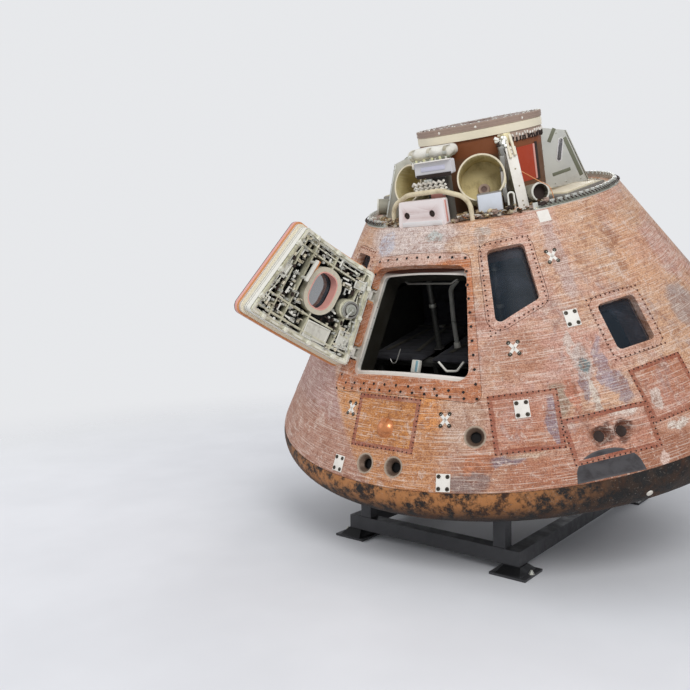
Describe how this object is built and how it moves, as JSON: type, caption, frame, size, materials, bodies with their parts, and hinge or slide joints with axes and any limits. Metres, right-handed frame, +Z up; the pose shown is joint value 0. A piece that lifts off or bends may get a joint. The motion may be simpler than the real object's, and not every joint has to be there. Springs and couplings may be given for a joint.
{
  "type": "space capsule on a display stand",
  "caption": "Weathered cone-shaped crew capsule with a swinging side hatch, open forward bay and hollow cabin, leaning on a low steel stand.",
  "frame": {"origin": "on the floor, at the centre of the stand's four floor-bolt holes", "axes": "+Z up, -Y towards the side with the hatch, towards which the capsule leans by 16 degrees"},
  "size_m": [3.9111, 4.2965, 3.2952],
  "materials": {
    "charred_shield": "charred, matt",
    "cone_skin": "scorched resin, matt, copper to lilac",
    "panel_skin": "scorched resin, matt",
    "surround_skin": "scorched orange resin",
    "nozzle_metal": "heat-stained",
    "white_plate": "chalky white",
    "frame_paint": "white, worn",
    "window_frame": "scorched pink",
    "window_glass": "dark blue-grey",
    "cabin_paint": "grey, matt",
    "deck_foil": "brown crumpled foil",
    "bare_metal": "dull, stained",
    "tunnel_copper": "copper brown",
    "collar_cream": "cream",
    "cover_dark": "dark brown, layered",
    "mortar_olive": "olive khaki",
    "bay_paint": "pale blue-grey",
    "bag_fabric": "off-white padded cloth",
    "couch_fabric": "grey-beige cloth",
    "cabin_metal": "grey",
    "console_paint": "grey panel paint",
    "hose_rubber": "grey-white",
    "hatch_metal": "cream-green primer",
    "stand_steel": "black paint",
    "pad_rubber": "black"
  },
  "bodies": {
    "capsule": {"aft_heat_shield": "charred_shield", "crew_heat_shield": "cone_skin", "access_panels": "panel_skin", "roll_thruster_panels": "panel_skin", "round_nozzles": "nozzle_metal", "bolt_plates": "white_plate", "vent_dome": "nozzle_metal", "hatch_surround": "surround_skin", "hatch_frame": "frame_paint", "rendezvous_window_frames": "window_frame", "side_window_frames": "window_frame", "window_panes": "window_glass", "cabin_wall": "cabin_paint", "cabin_floor": "cabin_paint", "forward_deck": "deck_foil", "deck_edge_ring": "bare_metal", "tunnel_wall": "tunnel_copper", "tunnel_collar": "collar_cream", "tunnel_cover": "cover_dark", "gussets": "bare_metal", "drogue_mortars": "mortar_olive", "recovery_bail": "bare_metal", "pitch_thruster_box": "panel_skin", "pilot_mortars": "mortar_olive", "bay_boxes": "bay_paint", "flotation_bag": "bag_fabric", "couches": "couch_fabric", "couch_frame": "cabin_metal", "overhead_struts": "cabin_metal", "display_console": "console_paint", "equipment_bays": "cabin_paint", "suit_hoses": "hose_rubber", "stand_feet": "stand_steel", "stand_cross_beams": "stand_steel", "stand_side_rails": "stand_steel", "stand_posts": "stand_steel", "stand_pads": "pad_rubber"},
    "side_hatch": {"hatch_skin": "surround_skin", "hatch_structure": "hatch_metal", "hatch_window_pane": "window_glass", "hatch_window_ring": "window_frame", "hatch_hinge_arms": "frame_paint", "hatch_gearbox": "bare_metal", "latch_gear": "hatch_metal", "hatch_handle": "frame_paint"}
  },
  "joints": [
    {"name": "hatch_hinge", "type": "hinge", "parent": "capsule", "child": "side_hatch", "pos_m": [-0.47009, -1.2819, 1.69466], "axis": [0.1773, 0.2638, 0.9481], "range_deg": [0, 103]}
  ]
}
